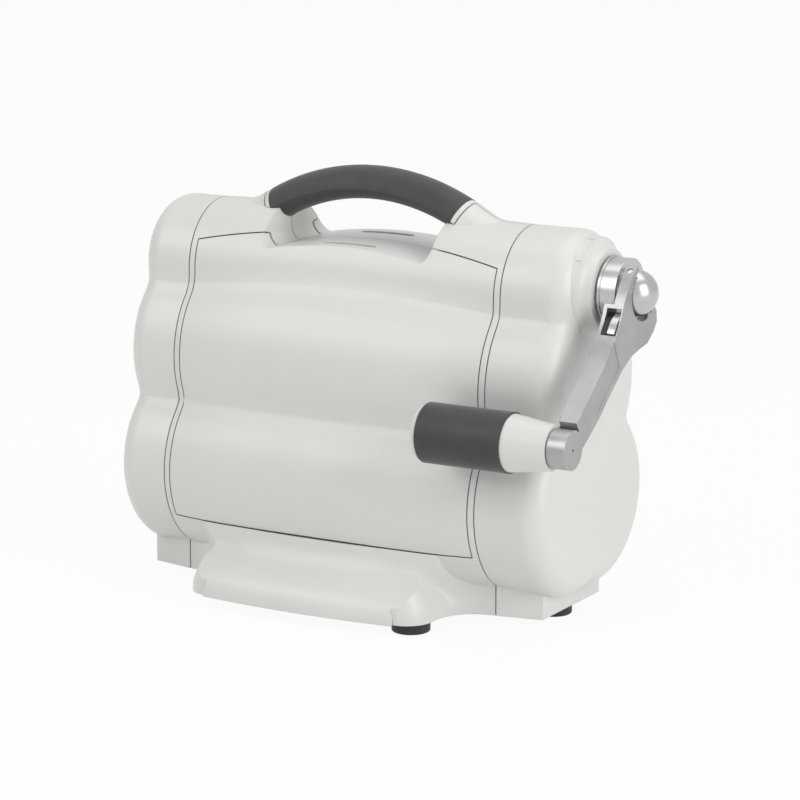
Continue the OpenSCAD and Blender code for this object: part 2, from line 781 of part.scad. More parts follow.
module crank_hub() place() color(steel) difference() {
    union() {
        along_x(hub_x, 0, crank_z) rotate_extrude($fn = 96) {
            square([hub_r, 12.4]);
            square([hub_r + 0.8, 1.6]);
            square([13, 17]);
        }
        translate([ball_x, 0, crank_z]) sphere(ball_r, $fn = 96);
    }
    rod(hub_x - 1, hub_x + 4, 0, crank_z, crank_shaft_r);
    crank_frame() translate([arm_pivot_x, 0, 0]) rotate([90, 0, 0])
        cylinder(60, pivot_r, pivot_r, center = true);
}

pivot_r = 2.2;
module arm_pivot_pin() place() color(steel) crank_frame() translate([arm_pivot_x, 3.6, 0])
    rotate([90, 0, 0]) cylinder(48.8, pivot_r, pivot_r, center = true);

// Outer face of the arm, hanging straight down: +X is the rear, +Y is up
jaw_r = 17.4;
module arm_face_2d() {
    difference() {
        union() {
            polygon([[-9.4, -112], [-8.2, -90], [-7.4, -62], [-8.2, -50], [-11, -37], [-14, -29],
                     [-18, -21], [-20.5, -12], [-22, 0], [-21, 5], [0, 5], [22, 5], [28, 1], [29.5, -6],
                     [28.5, -17], [22.5, -27], [17, -38], [14, -52], [13, -70], [12.5, -92],
                     [9.4, -116]]);
            translate([0, -crank_len]) circle(boss_r);
        }
        circle(jaw_r, $fn = 96);
        translate([-jaw_r, 0]) square([2 * jaw_r, 20]);
    }
}

bar_top = 23.5;
slot_z0 = 26;
slot_z1 = 43;
module arm_prism(x0, x1) {
    translate([x0, 0, 0]) rotate([90, 0, 90]) linear_extrude(x1 - x0) children();
}
module crank_arm() place() color(alloy) crank_frame() difference() {
    union() {
        arm_prism(arm_pivot_x - 3.2, arm_x) arm_face_2d();
        arm_prism(183.6, arm_x) intersection() {
            arm_face_2d();
            translate([-far / 2, -bar_top - far]) square(far);
        }
        rod(grip_out_x, arm_x, 0, -crank_len, boss_r);
    }
    // slimmer inner side towards the grip, round the boss
    translate([grip_out_x - 15, -30, -crank_len - 20]) cube([15, 60, 38]);
    translate([arm_pivot_x, 0, 0]) rotate([90, 0, 0])
        cylinder(80, pivot_r + running, pivot_r + running, center = true);
    // latch slot in the front edge
    translate([186, -30, -slot_z1]) cube([10.2, 29, slot_z1 - slot_z0]);
    // sunk panel on the outer face
    arm_prism(arm_x - 0.5, arm_x + 1) polygon([[-9, -46], [-5.2, -86], [1.5, -93], [9.5, -92], [10.5, -52]]);
    // sight hole of the grip's spindle
    rod(grip_out_x - 1, arm_x + 1, 0, -crank_len, 1);
}

button_x0 = 190.95;
module latch_button() place() color(steel) crank_frame() intersection() {
    translate([button_x0, -22, -slot_z1 + 0.4]) cube([4.9, 16, slot_z1 - slot_z0 - 0.8]);
    translate([0, 7, -(slot_z0 + slot_z1) / 2]) rotate([0, 90, 0]) cylinder(far, 20, 20, $fn = 96);
}
module latch_spring() place() color(steel) crank_frame()
    translate([button_x0 + 2.45, -1, -(slot_z0 + slot_z1) / 2]) rotate([90, 0, 0])
        cylinder(4.7, 1.4, 1.4);
module latch_pad() place() color(black) crank_frame() intersection() {
    translate([186.2, -22, -slot_z1 + 0.2]) cube([4.4, 20.8, slot_z1 - slot_z0 - 0.4]);
    translate([0, 7.2, -(slot_z0 + slot_z1) / 2]) rotate([0, 90, 0]) cylinder(far, 19, 19, $fn = 96);
}

module at_grip() crank_frame() translate([0, 0, -crank_len]) children();
module grip_spindle() place() color(steel) at_grip() {
    rod(grip_end_x + 6, grip_out_x, 0, 0, spindle_r);
    rod(grip_end_x + 4, grip_end_x + 6, 0, 0, spindle_r + 2);
}
// Hollow white core of the grip: cone towards the arm, rounded rim at the free end
module grip_core() place() color(white) at_grip() along_x(0, 0, 0) rotate_extrude($fn = 96)
    difference() {
        union() {
            polygon([[spindle_r + running, cone_x], [18.3, cone_x], [14.3, grip_out_x - 0.6],
                     [spindle_r + running, grip_out_x - 0.6]]);
            translate([spindle_r + running, sleeve_x]) square([9, cone_x - sleeve_x]);
            translate([spindle_r + running, grip_end_x + 4]) square([13, sleeve_x - grip_end_x - 4]);
            translate([0, grip_end_x]) square([14, 4]);
            translate([14, grip_end_x + 4]) circle(4);
        }
        translate([0, grip_end_x + 3.6]) square([spindle_r + 2.4, 2.8]);
        translate([18.1, grip_end_x]) square([10, 20]);
        translate([spindle_r + running + 9, sleeve_x]) square([20, 5]);
    }
module grip_sleeve() place() color(soft_grey) at_grip()
    tube(sleeve_x, cone_x, 0, 0, sleeve_r, spindle_r + running + 9);

// ---- feet and fasteners ----------------------------------------------------

module rubber_feet() place() color(black) for (p = feet_xy) translate([p[0], p[1], 0])
    rotate_extrude() difference() {
        union() {
            square([foot_r - 1.5, rim_z]);
            translate([0, 1.5]) square([foot_r, rim_z - 1.5]);
            translate([foot_r - 1.5, 1.5]) circle(1.5);
        }
        square([4.5, 4]);
        square([2, 40]);
    }

module base_screws() place() color(steel) for (p = feet_xy) translate([p[0], p[1], 0]) {
    translate([0, 0, 1.2]) cylinder(2.8, 4, 4);
    translate([0, 0, 4]) cylinder(rim_z - 1, 2, 2);
}

module frame_screws() place() color(steel) for (side = [-1, 1], y = [-16, 16])
    translate([side * (frame_x - 8), y, frame_z0]) {
        cylinder(6, 2.1, 2.1);
        translate([0, 0, 3]) cylinder(3, 4, 4);
    }

base_pan();
front_housing();
rear_housing();
left_end_cap();
right_end_cap();
front_door();
rear_door();
front_platform();
rear_platform();
front_hinge_pins();
rear_hinge_pins();
handle_core();
handle_grip();
left_side_frame();
right_side_frame();
tie_bars();
upper_cover();
lower_cover();
upper_roller();
lower_roller();
roller_bushes();
inner_gear_plate();
outer_gear_plate();
gear_plate_spacers();
crank_bushes();
crank_shaft();
crank_pinion();
crank_collar();
idler_axle();
idler_gear();
upper_roller_gear();
lower_roller_gear();
crank_seal();
crank_hub();
arm_pivot_pin();
crank_arm();
latch_button();
latch_spring();
latch_pad();
grip_spindle();
grip_core();
grip_sleeve();
rubber_feet();
base_screws();
frame_screws();
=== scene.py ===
import json
import math

import bmesh
import bpy
import numpy as np
from mathutils import Matrix, Vector

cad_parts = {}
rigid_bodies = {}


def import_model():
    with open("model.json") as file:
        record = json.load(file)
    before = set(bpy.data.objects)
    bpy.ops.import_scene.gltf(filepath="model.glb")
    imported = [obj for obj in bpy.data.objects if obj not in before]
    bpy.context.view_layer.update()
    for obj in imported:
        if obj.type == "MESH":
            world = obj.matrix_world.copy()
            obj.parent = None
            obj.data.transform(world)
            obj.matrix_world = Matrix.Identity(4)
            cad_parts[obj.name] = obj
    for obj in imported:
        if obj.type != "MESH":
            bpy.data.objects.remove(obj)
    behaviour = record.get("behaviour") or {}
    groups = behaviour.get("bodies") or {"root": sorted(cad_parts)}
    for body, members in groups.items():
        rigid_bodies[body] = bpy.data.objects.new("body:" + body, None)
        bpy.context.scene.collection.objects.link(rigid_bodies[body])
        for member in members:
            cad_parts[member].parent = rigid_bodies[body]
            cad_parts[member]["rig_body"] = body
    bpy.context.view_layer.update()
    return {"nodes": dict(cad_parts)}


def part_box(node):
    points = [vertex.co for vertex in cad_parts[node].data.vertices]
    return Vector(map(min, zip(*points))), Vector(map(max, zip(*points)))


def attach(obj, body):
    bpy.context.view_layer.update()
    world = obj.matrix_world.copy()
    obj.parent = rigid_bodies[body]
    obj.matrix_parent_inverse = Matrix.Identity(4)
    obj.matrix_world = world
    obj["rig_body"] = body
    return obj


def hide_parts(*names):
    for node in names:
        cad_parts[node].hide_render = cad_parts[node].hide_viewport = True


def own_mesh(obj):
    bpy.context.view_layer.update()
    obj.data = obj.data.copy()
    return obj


bl_info = {
    "name": "Die cutting machine",
    "version": (1, 0, 0),
    "blender": (4, 5, 0),
    "location": "3D View > Sidebar > Machine",
    "description": "Finishes, details and stage of a portable die cutting machine",
    "category": "Object",
}

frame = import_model()
MM = 0.001

# The casing's middle plane and its seams, read off the frame
_front_low, _front_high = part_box("front_housing")
_rear_low, _rear_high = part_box("rear_housing")
MID_X = (_front_low.x + _front_high.x) / 2
MID_Y = (_front_low.y + _rear_high.y) / 2
SEAM_X = (_front_high.x - _front_low.x) / 2 + 0.35 * MM

# Lobes of the casing: half spacing in Y, height, radius at the seam, swell towards the middle
TOP_LOBE = (0.0, 212.8 * MM, 42.5 * MM, 2.0 * MM)
MID_LOBE = (0.0, 155.6 * MM, 62.0 * MM, 8.0 * MM)
LOW_LOBE = (15.1 * MM, 80.3 * MM, 60.5 * MM, 8.0 * MM)
CAP_ROUNDING = 16.0 * MM
CAP_DEPTH = {-1: 40.0 * MM, 1: 48.0 * MM}

# The crank's stored position: its axis, and how far the arm leans forward of straight down
CRANK_Z = 218.0 * MM
STORED = math.radians(49.5)
# Radius of the foot of the collar that the crank turns in front of
COLLAR_FOOT = 34.0 * MM

# Wall of the mouldings, and the heights between which the lobes' creases lie
WALL = 2.6 * MM
CREASES = ((106 * MM, 150 * MM), (190 * MM, 224 * MM))
# Flared foot: its rim and top, and the rows between them that carry its lean
FLARE_RIM = 8 * MM
FLARE_TOP = 51 * MM
FLARE_ROWS = (11 * MM, 50 * MM)

# How far apart two walls may stand for painted shade to darken the space between them
PAINTED_GAP_SHADE_REACH = 1.4 * MM


# ---- settings --------------------------------------------------------------


def colour_setting(label, text, default):
    return bpy.props.FloatVectorProperty(
        name=label, description=text, default=default, size=3, min=0.0, max=1.0, subtype="COLOR"
    )


def length_setting(label, text, default):
    return bpy.props.FloatProperty(
        name=label, description=text, default=default, min=0.0, unit="LENGTH", precision=5
    )


def plain_setting(label, text, default):
    return bpy.props.FloatProperty(name=label, description=text, default=default, min=0.0)


class MachineFinishes(bpy.types.PropertyGroup):
    """Colours of the machine's finishes and the size of their grain."""

    shell: colour_setting("Casing", "Satin white of the mouldings", (0.80, 0.79, 0.765))
    inside: colour_setting("Inner mouldings", "Matt white of the platforms", (0.74, 0.73, 0.70))
    grip: colour_setting("Soft grips", "Grey of the soft-touch rubber", (0.05, 0.047, 0.047))
    alloy: colour_setting("Crank casting", "Blasted alloy of the arm", (0.42, 0.42, 0.42))
    bright: colour_setting("Plated steel", "Bright plated parts", (0.56, 0.555, 0.55))
    plain_steel: colour_setting("Frame steel", "Zinc plated frame parts", (0.50, 0.50, 0.51))
    gear: colour_setting("Gear steel", "Greased cut gears", (0.33, 0.33, 0.34))
    bronze: colour_setting("Bushes", "Sintered bronze", (0.52, 0.36, 0.18))
    rubber: colour_setting("Black rubber", "Feet, seal and pad", (0.018, 0.016, 0.016))
    edge: length_setting("Edge radius", "Rounding seen on moulded edges", 0.9 * MM)
    grain: length_setting("Grain", "Size of the mouldings' spark grain", 0.6 * MM)


class MachineSizes(bpy.types.PropertyGroup):
    """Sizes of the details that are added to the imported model."""

    valley: length_setting("Valley blend", "Reach of the blend between two lobes", 9.0 * MM)
    row: length_setting("Row spacing", "Spacing of the rows that carry the blend", 2.5 * MM)
    lean: length_setting("Flare's lean", "How far the flare's ends fall back", 16.0 * MM)
    spring_wire: length_setting("Spring wire", "Radius of the latch spring's wire", 0.22 * MM)
    spring_turns: bpy.props.IntProperty(
        name="Spring turns", description="Turns of the latch spring", default=6, min=3, max=12
    )


class MachineStage(bpy.types.PropertyGroup):
    """Floor, lamps and camera."""

    key: plain_setting("Key lamp", "Power of the large lamp at the front left, in watts", 14.0)
    top: plain_setting("Top lamp", "Power of the overhead lamp, in watts", 9.0)
    side: plain_setting("Side lamp", "Power of the lamp on the crank's side, in watts", 17.0)
    sky: plain_setting("Sky", "Strength of the even light from all round", 0.38)
    lens: plain_setting("Lens", "Focal length of the camera, in millimetres", 153.0)
    floor: length_setting("Floor", "Half width of the floor", 6.0)


# ---- mesh helpers ----------------------------------------------------------


def merged_copy(node):
    """A bmesh of a node's surface with its corners joined."""
    bm = bmesh.new()
    bm.from_mesh(frame["nodes"][node].data)
    bmesh.ops.remove_doubles(bm, verts=bm.verts, dist=0.002 * MM)
    bmesh.ops.dissolve_degenerate(bm, edges=bm.edges, dist=0.001 * MM)
    for face in bm.faces:
        face.material_index = 0
    return bm


def finish_piece(bm, name, body, slot, angle, replaces):
    """Makes a piece of a bmesh: shading, finish, body, slot and the nodes it stands for."""
    limit = math.radians(angle)
    for face in bm.faces:
        face.smooth = True
    for edge in bm.edges:
        edge.smooth = len(edge.link_faces) == 2 and edge.calc_face_angle(0.0) < limit
    mesh = bpy.data.meshes.new(name)
    bm.to_mesh(mesh)
    bm.free()
    mesh.materials.append(finish(slot))
    piece = bpy.data.objects.new(name, mesh)
    bpy.context.scene.collection.objects.link(piece)
    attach(piece, body)
    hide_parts(*replaces)
    return piece


def node_body(node):
    return frame["nodes"][node]["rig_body"]


def dress(node, slot, angle=35.0):
    """Smooth copy of a node with its finish, in place of the node."""
    return dressed(merged_copy(node), node, slot, angle)


def dressed(bm, node, slot, angle):
    """Piece made of a node's changed surface, in place of the node."""
    return finish_piece(bm, node + "_finish", node_body(node), slot, angle, [node])


def cut_rows(bm, axis, values, low=None, high=None):
    """Cuts the faces between two heights by planes across an axis."""
    normal = Vector((0.0, 0.0, 0.0))
    normal[axis] = 1.0
    for value in values:
        if low is None:
            faces = list(bm.faces)
        else:
            faces = [
                f
                for f in bm.faces
                if max(v.co.z for v in f.verts) > low and min(v.co.z for v in f.verts) < high
            ]
        edges = list({e for f in faces for e in f.edges})
        bmesh.ops.bisect_plane(
            bm,
            geom=faces + edges + list({v for f in faces for v in f.verts}),
            dist=1e-6,
            plane_co=normal * value,
            plane_no=normal,
        )


# ---- lobed outline ---------------------------------------------------------


def lobe_distance(points, lobe):
    """Distance of points outside one lobe's round, which swells between the seams."""
    spread, height, radius, swell = lobe
    within = np.minimum(np.abs(points[:, 0] - MID_X), SEAM_X)
    y = np.abs(points[:, 1] - MID_Y)
    bow = (SEAM_X**2 + swell**2) / (2 * swell)
    out = np.hypot(y - spread, points[:, 2] - height)
    return out - (radius + swell - bow + np.sqrt(bow**2 - within**2))


def blended(a, b, reach):
    """The smaller of two distances, rounded off where they come within reach of each other."""
    h = np.maximum(reach - np.abs(a - b), 0.0) / reach
    return np.minimum(a, b) - h * h * reach / 4


def skin_distance(points, reach):
    """Distance of points outside the lobed skin, with the ends of both caps rounded over."""
    top = lobe_distance(points, TOP_LOBE)
    mid = lobe_distance(points, MID_LOBE)
    low = lobe_distance(points, LOW_LOBE)
    if reach:
        skin = blended(blended(top, mid, reach), low, reach)
    else:
        skin = np.minimum(np.minimum(top, mid), low)
    x = np.abs(points[:, 0] - MID_X)
    depth = np.where(points[:, 0] > MID_X, CAP_DEPTH[1], CAP_DEPTH[-1])
    across = skin + CAP_ROUNDING
    along = x - SEAM_X - (depth - CAP_ROUNDING)
    cap = (
        np.hypot(np.maximum(across, 0), np.maximum(along, 0))
        + np.minimum(np.maximum(across, along), 0)
        - CAP_ROUNDING
    )
    return np.where(x > SEAM_X, cap, skin)


def skin_slope(points, reach):
    """Direction in which the distance from the skin grows."""
    step = 0.05 * MM
    slope = np.zeros_like(points)
    for axis in range(3):
        ahead = points.copy()
        ahead[:, axis] += step
        behind = points.copy()
        behind[:, axis] -= step
        slope[:, axis] = skin_distance(ahead, reach) - skin_distance(behind, reach)
    return slope / np.maximum(np.linalg.norm(slope, axis=1, keepdims=True), 1e-9)


def soften_valleys(bm, reach):
    """Fills the creases between the lobes with a soft blend, walls included."""
    over_skin = 0.3 * MM
    under_wall = 0.6 * MM
    points = np.array([v.co for v in bm.verts])
    sharp = skin_distance(points, 0.0)
    rise = sharp - skin_distance(points, reach)
    moved = points + rise[:, None] * skin_slope(points, reach)
    in_wall = (sharp > -WALL - under_wall) & (sharp < over_skin)
    for vert, place, keep in zip(bm.verts, moved, in_wall):
        if keep:
            vert.co = place


def eased(values, start, end):
    """0 up to start, 1 from end on, and a smooth rise between them."""
    t = np.clip((values - start) / (end - start), 0.0, 1.0)
    return t * t * (3 - 2 * t)


def lean_flare(bm, reach):
    """Lets both ends of the flared foot fall back as they rise from the rim."""
    points = np.array([v.co for v in bm.verts])
    x = points[:, 0] - MID_X
    height = eased(points[:, 2], 10 * MM, 50 * MM)
    off_the_lobes = eased(skin_distance(points, 0.0), 0.0, 12 * MM)
    off_the_plinth = eased(np.abs(points[:, 1] - MID_Y), 50 * MM, 62 * MM)
    near_the_end = eased(np.abs(x), 45 * MM, 80 * MM)
    shift = reach * height * off_the_lobes * off_the_plinth * near_the_end
    for vert, move in zip(bm.verts, np.sign(x) * shift):
        vert.co.x -= move


def settle_collar(bm):
    """Draws the foot of the crank's collar down onto the rounded end of its cap."""
    deepest = 8 * MM
    proud = 0.1 * MM
    cap_x = MID_X + SEAM_X + CAP_DEPTH[1]
    for vert in bm.verts:
        away = math.hypot(vert.co.y - MID_Y, vert.co.z - CRANK_Z)
        if abs(away - COLLAR_FOOT) > 0.3 * MM or vert.co.x < cap_x - deepest:
            continue
        centre = math.hypot(vert.co.y - MID_Y, vert.co.z - TOP_LOBE[1])
        past = min(max(centre - (TOP_LOBE[2] - CAP_ROUNDING), 0.0), CAP_ROUNDING)
        drop = CAP_ROUNDING - math.sqrt(CAP_ROUNDING**2 - past**2)
        vert.co.x = min(vert.co.x, cap_x - drop + proud)


def dress_shell(node, slot, columns=()):
    """Copy of a casing shell whose lobes flow into each other."""
    sizes = bpy.context.scene.machine_sizes
    bm = merged_copy(node)
    for low, high in CREASES:
        cut_rows(bm, 2, np.arange(low, high, sizes.row))
        cut_rows(bm, 0, columns, low, high)
    soften_valleys(bm, sizes.valley)
    if node == "right_end_cap":
        settle_collar(bm)
    if "housing" in node:
        cut_rows(bm, 2, np.arange(*FLARE_ROWS, sizes.row), FLARE_RIM, FLARE_TOP)
        lean_flare(bm, sizes.lean)
    bmesh.ops.dissolve_degenerate(bm, edges=bm.edges, dist=0.002 * MM)
    return dressed(bm, node, slot, 24.0)


# ---- finishes --------------------------------------------------------------


class Nodes:
    """Short way to write a material's node tree."""

    def __init__(self, name):
        self.material = bpy.data.materials.new(name)
        self.material.use_nodes = True
        self.tree = self.material.node_tree
        self.shader = self.tree.nodes["Principled BSDF"]
        self.coords = self.add("ShaderNodeTexCoord").outputs["Object"]

    def add(self, kind, **values):
        node = self.tree.nodes.new(kind)
        for key, value in values.items():
            setattr(node, key, value)
        return node

    def link(self, source, target):
        self.tree.links.new(source, target)

    def noise(self, scale, detail=3.0, rough=0.5, stretch=None):
        node = self.add("ShaderNodeTexNoise")
        node.inputs["Scale"].default_value = scale
        node.inputs["Detail"].default_value = detail
        node.inputs["Roughness"].default_value = rough
        source = self.coords
        if stretch:
            mapping = self.add("ShaderNodeMapping")
            mapping.inputs["Scale"].default_value = stretch
            self.link(source, mapping.inputs["Vector"])
            source = mapping.outputs["Vector"]
        self.link(source, node.inputs["Vector"])
        return node.outputs["Fac"]

    def cells(self, scale):
        node = self.add("ShaderNodeTexVoronoi")
        node.inputs["Scale"].default_value = scale
        self.link(self.coords, node.inputs["Vector"])
        return node.outputs["Distance"]

    def spread(self, source, low, high, start=0.0, end=1.0):
        node = self.add("ShaderNodeMapRange")
        self.link(source, node.inputs["Value"])
        node.inputs["From Min"].default_value = start
        node.inputs["From Max"].default_value = end
        node.inputs["To Min"].default_value = low
        node.inputs["To Max"].default_value = high
        return node.outputs["Result"]

    def maths(self, kind, a, b):
        node = self.add("ShaderNodeMath", operation=kind)
        for socket, value in zip(node.inputs, (a, b)):
            if hasattr(value, "links"):
                self.link(value, socket)
            else:
                socket.default_value = value
        return node.outputs["Value"]

    def mix(self, factor, first, second):
        node = self.add("ShaderNodeMix", data_type="RGBA")
        for key, value in ((0, factor), (6, first), (7, second)):
            if hasattr(value, "links"):
                self.link(value, node.inputs[key])
            elif key:
                node.inputs[key].default_value = (*value, 1.0)
            else:
                node.inputs[key].default_value = value
        return node.outputs[2]

    def bump(self, height, distance, strength=1.0, normal=None):
        node = self.add("ShaderNodeBump")
        node.inputs["Strength"].default_value = strength
        node.inputs["Distance"].default_value = distance
        self.link(height, node.inputs["Height"])
        if normal is not None:
            self.link(normal, node.inputs["Normal"])
        return node.outputs["Normal"]

    def rounded(self, radius):
        node = self.add("ShaderNodeBevel", samples=6)
        node.inputs["Radius"].default_value = radius
        return node.outputs["Normal"]

    def edge_mask(self, rounded, low, high):
        """1 along sharp edges, 0 on open faces."""
        true = self.add("ShaderNodeNewGeometry").outputs["Normal"]
        dot = self.add("ShaderNodeVectorMath", operation="DOT_PRODUCT")
        self.link(rounded, dot.inputs[0])
        self.link(true, dot.inputs[1])
        return self.spread(dot.outputs["Value"], 1.0, 0.0, low, high)


def shade(colour, factor):
    """A lighter or darker tone of a colour."""
    return tuple(min(1.0, c * factor) for c in colour)


def moulded(name, colour, rough, grain, grain_height, edge, gloss=0.0):
    """Moulded plastic: spark grain, faint clouding, light scuffs, soft edges, painted shade in the
    gaps.
    """
    n = Nodes(name)
    cloud = n.noise(9.0, 2.0)
    tone = n.mix(n.spread(cloud, 0.0, 1.0, 0.35, 0.65), shade(colour, 0.985), shade(colour, 1.01))
    scuffs = n.noise(55.0, 6.0, 0.75, (1.0, 1.0, 0.25))
    marks = n.spread(scuffs, 0.0, 1.0, 0.62, 0.78)
    tone = n.mix(n.maths("MULTIPLY", marks, 0.06), tone, shade(colour, 0.8))
    # painted shade: the base colour is darkened in the narrow gaps between two mouldings, where
    # ambient occlusion finds walls close by
    painted_gap_shade = n.add("ShaderNodeAmbientOcclusion", samples=6)
    painted_gap_shade.inputs["Distance"].default_value = PAINTED_GAP_SHADE_REACH
    tone = n.mix(n.spread(painted_gap_shade.outputs["AO"], 0.0, 1.0, 0.1, 0.62), shade(colour, 0.1), tone)
    n.link(tone, n.shader.inputs["Base Color"])
    patch = n.spread(n.noise(24.0, 4.0, 0.6), rough - 0.03, rough + 0.04, 0.3, 0.7)
    n.link(n.maths("ADD", patch, n.maths("MULTIPLY", marks, 0.08)), n.shader.inputs["Roughness"])
    soft = n.rounded(edge)
    fine = n.bump(n.noise(1.0 / grain, 2.0), grain_height, 0.5, soft)
    n.link(fine, n.shader.inputs["Normal"])
    n.shader.inputs["IOR"].default_value = 1.49
    n.shader.inputs["Coat Weight"].default_value = gloss
    n.shader.inputs["Coat Roughness"].default_value = 0.18
    return n.material


def soft_touch(name, colour):
    """Soft-touch rubber: fine stipple, dusty tone, lighter worn edges."""
    n = Nodes(name)
    dust = n.noise(38.0, 5.0, 0.65)
    tone = n.mix(n.spread(dust, 0.0, 1.0, 0.3, 0.75), shade(colour, 0.86), shade(colour, 1.22))
    soft = n.rounded(0.5 * MM)
    worn = n.maths("MULTIPLY", n.edge_mask(soft, 0.86, 0.995), n.spread(dust, 0.1, 0.5, 0.4, 0.7))
    tone = n.mix(worn, tone, shade(colour, 2.2))
    n.link(tone, n.shader.inputs["Base Color"])
    n.link(n.spread(n.noise(60.0, 4.0), 0.5, 0.62, 0.3, 0.7), n.shader.inputs["Roughness"])
    stipple = n.bump(n.cells(1900.0), 0.05 * MM, 0.35, soft)
    n.link(n.bump(n.noise(420.0, 3.0), 0.06 * MM, 0.25, stipple), n.shader.inputs["Normal"])
    n.shader.inputs["Sheen Weight"].default_value = 0.25
    n.shader.inputs["Sheen Roughness"].default_value = 0.4
    n.shader.inputs["Specular IOR Level"].default_value = 0.45
    return n.material


def blasted(name, colour):
    """Blasted casting with bright machined edges and a few handling marks."""
    n = Nodes(name)
    cloud = n.noise(45.0, 4.0, 0.6)
    tone = n.mix(n.spread(cloud, 0.0, 1.0, 0.3, 0.7), shade(colour, 0.9), shade(colour, 1.1))
    soft = n.rounded(0.45 * MM)
    edge = n.edge_mask(soft, 0.8, 0.99)
    n.link(n.mix(edge, tone, shade(colour, 1.5)), n.shader.inputs["Base Color"])
    base = n.spread(cloud, 0.33, 0.42, 0.3, 0.7)
    n.link(n.maths("SUBTRACT", base, n.maths("MULTIPLY", edge, 0.12)), n.shader.inputs["Roughness"])
    pits = n.bump(n.noise(2600.0, 2.0), 0.04 * MM, 0.35, soft)
    n.link(n.bump(n.noise(240.0, 3.0), 0.05 * MM, 0.15, pits), n.shader.inputs["Normal"])
    n.shader.inputs["Metallic"].default_value = 0.9
    return n.material


def plated(name, colour, rough):
    """Polished plating with faint polishing lines and finger smears."""
    n = Nodes(name)
    smear = n.noise(70.0, 5.0, 0.6)
    tone = n.mix(n.spread(smear, 0.0, 1.0, 0.3, 0.7), shade(colour, 0.93), shade(colour, 1.04))
    n.link(tone, n.shader.inputs["Base Color"])
    n.link(n.spread(smear, rough, rough + 0.09, 0.35, 0.75), n.shader.inputs["Roughness"])
    lines = n.noise(90.0, 3.0, 0.6, (1.0, 24.0, 24.0))
    n.link(n.bump(lines, 0.01 * MM, 0.12, n.rounded(0.35 * MM)), n.shader.inputs["Normal"])
    n.shader.inputs["Metallic"].default_value = 1.0
    return n.material


def rolled(name, colour, rough, grease=0.0):
    """Rolled or cut steel: drawn lines, zinc bloom, worn edges, and grease on gears."""
    n = Nodes(name)
    bloom = n.cells(160.0)
    cloud = n.noise(30.0, 5.0, 0.6)
    tone = n.mix(n.spread(bloom, 0.0, 0.5), shade(colour, 0.9), shade(colour, 1.08))
    dark = n.maths("MULTIPLY", n.spread(cloud, 0.0, 1.0, 0.45, 0.7), 0.25 + grease)
    tone = n.mix(dark, tone, shade(colour, 0.55))
    soft = n.rounded(0.3 * MM)
    tone = n.mix(n.edge_mask(soft, 0.8, 0.99), tone, shade(colour, 1.35))
    n.link(tone, n.shader.inputs["Base Color"])
    n.link(n.spread(cloud, rough, rough + 0.14, 0.3, 0.7), n.shader.inputs["Roughness"])
    drawn = n.noise(160.0, 3.0, 0.6, (0.06, 8.0, 8.0))
    n.link(n.bump(drawn, 0.02 * MM, 0.2, soft), n.shader.inputs["Normal"])
    n.shader.inputs["Metallic"].default_value = 1.0
    return n.material


def black_rubber(name, colour):
    """Moulded black rubber with a little dust in its grain."""
    n = Nodes(name)
    dust = n.noise(120.0, 6.0, 0.7)
    tone = n.mix(n.spread(dust, 0.0, 1.0, 0.5, 0.75), colour, shade(colour, 2.6))
    n.link(tone, n.shader.inputs["Base Color"])
    n.link(n.spread(dust, 0.45, 0.65, 0.3, 0.7), n.shader.inputs["Roughness"])
    fine = n.bump(n.noise(900.0, 3.0), 0.05 * MM, 0.4, n.rounded(0.5 * MM))
    n.link(fine, n.shader.inputs["Normal"])
    return n.material


_finishes = {}


def finish(slot):
    """The finish of a material slot, made the first time it is asked for."""
    if slot in _finishes:
        return _finishes[slot]
    s = bpy.context.scene.machine_finishes
    makers = {
        "shell_white": lambda: moulded(slot, s.shell, 0.36, s.grain, 0.03 * MM, s.edge, 0.12),
        "inner_white": lambda: moulded(slot, s.inside, 0.52, s.grain * 1.5, 0.06 * MM, s.edge),
        "soft_grip": lambda: soft_touch(slot, s.grip),
        "crank_alloy": lambda: blasted(slot, s.alloy),
        "bright_steel": lambda: plated(slot, s.bright, 0.24),
        "frame_steel": lambda: rolled(slot, s.plain_steel, 0.28),
        "gear_steel": lambda: rolled(slot, s.gear, 0.3, 0.3),
        "bush_bronze": lambda: rolled(slot, s.bronze, 0.34),
        "black_rubber": lambda: black_rubber(slot, s.rubber),
    }
    _finishes[slot] = makers[slot]()
    return _finishes[slot]


# ---- pieces ----------------------------------------------------------------


def door_columns():
    """Places along X where the shells are cut, so that they bend with the casing's swell."""
    spacing = 8 * MM
    count = 13
    return [MID_X + i * spacing for i in range(-count, count + 1)]


class PieceOperator:
    """Shared part of the operators that make the machine's pieces."""

    bl_options = {"REGISTER", "UNDO"}

    def execute(self, context):
        self.make(context)
        return {"FINISHED"}


class MACHINE_OT_casing(PieceOperator, bpy.types.Operator):
    """Casing shells and end caps with their lobes flowing into each other"""

    bl_idname = "machine.casing"
    bl_label = "Casing"

    def make(self, context):
        for node in ("front_housing", "rear_housing"):
            dress_shell(node, "shell_white", door_columns())
        for node in ("left_end_cap", "right_end_cap"):
            dress_shell(node, "shell_white")
        dress("base_pan", "inner_white")


class MACHINE_OT_doors(PieceOperator, bpy.types.Operator):
    """Fold-down doors, their platforms and hinge pins"""

    bl_idname = "machine.doors"
    bl_label = "Doors"

    def make(self, context):
        for end in ("front", "rear"):
            dress_shell(end + "_door", "shell_white", door_columns())
            dress(end + "_platform", "inner_white")
            dress(end + "_hinge_pins", "frame_steel")


class MACHINE_OT_handle(PieceOperator, bpy.types.Operator):
    """Carrying handle: core with its collars, and soft grip"""

    bl_idname = "machine.handle"
    bl_label = "Carrying handle"

    def make(self, context):
        dress("handle_core", "shell_white")
        dress("handle_grip", "soft_grip", 28.0)


